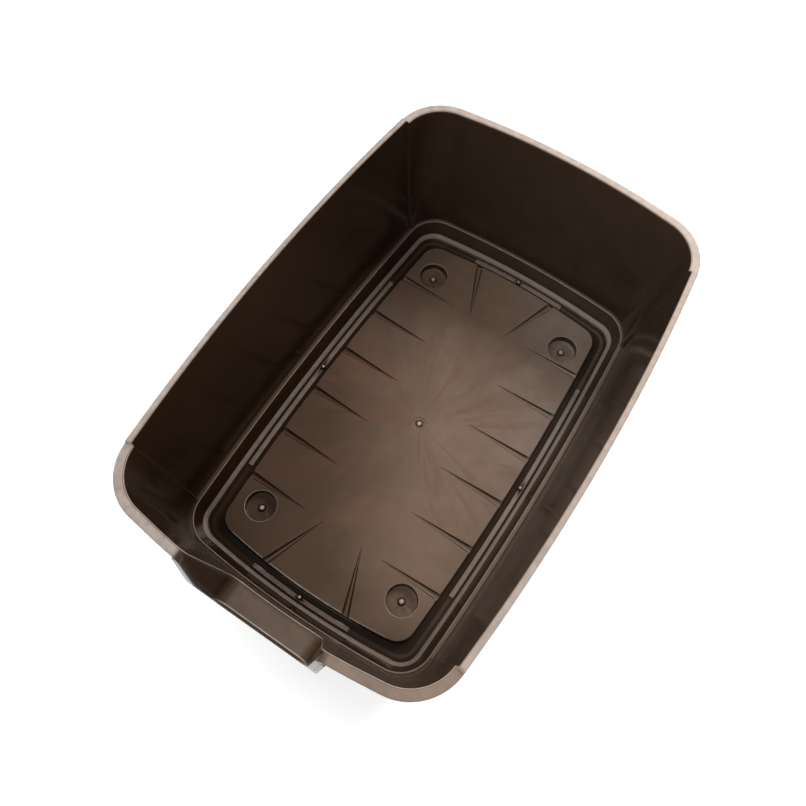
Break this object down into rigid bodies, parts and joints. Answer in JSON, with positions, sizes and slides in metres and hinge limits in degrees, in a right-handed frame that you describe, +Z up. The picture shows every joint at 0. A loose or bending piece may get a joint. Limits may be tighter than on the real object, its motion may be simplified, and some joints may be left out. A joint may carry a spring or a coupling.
{
  "type": "cat litter pan",
  "caption": "Open high-sided plastic cat litter pan with a low notched entry, turned-down rim, grooved raised floor and push-in rubber feet.",
  "frame": {"origin": "on the floor that the feet stand on, under the middle of the pan's overall outline, entry lip included", "axes": "+Y along the length, away from the entry; +X across the width, to the right of someone facing +Y; +Z up"},
  "size_m": [0.396, 0.606, 0.212],
  "materials": {
    "pan_plastic": "satin-gloss dark brown moulded plastic",
    "foot_rubber": "matte dark rubber"
  },
  "bodies": {
    "root": {"pan_shell": "pan_plastic", "foot_front_left": "foot_rubber", "foot_front_right": "foot_rubber", "foot_back_left": "foot_rubber", "foot_back_right": "foot_rubber"}
  },
  "joints": []
}
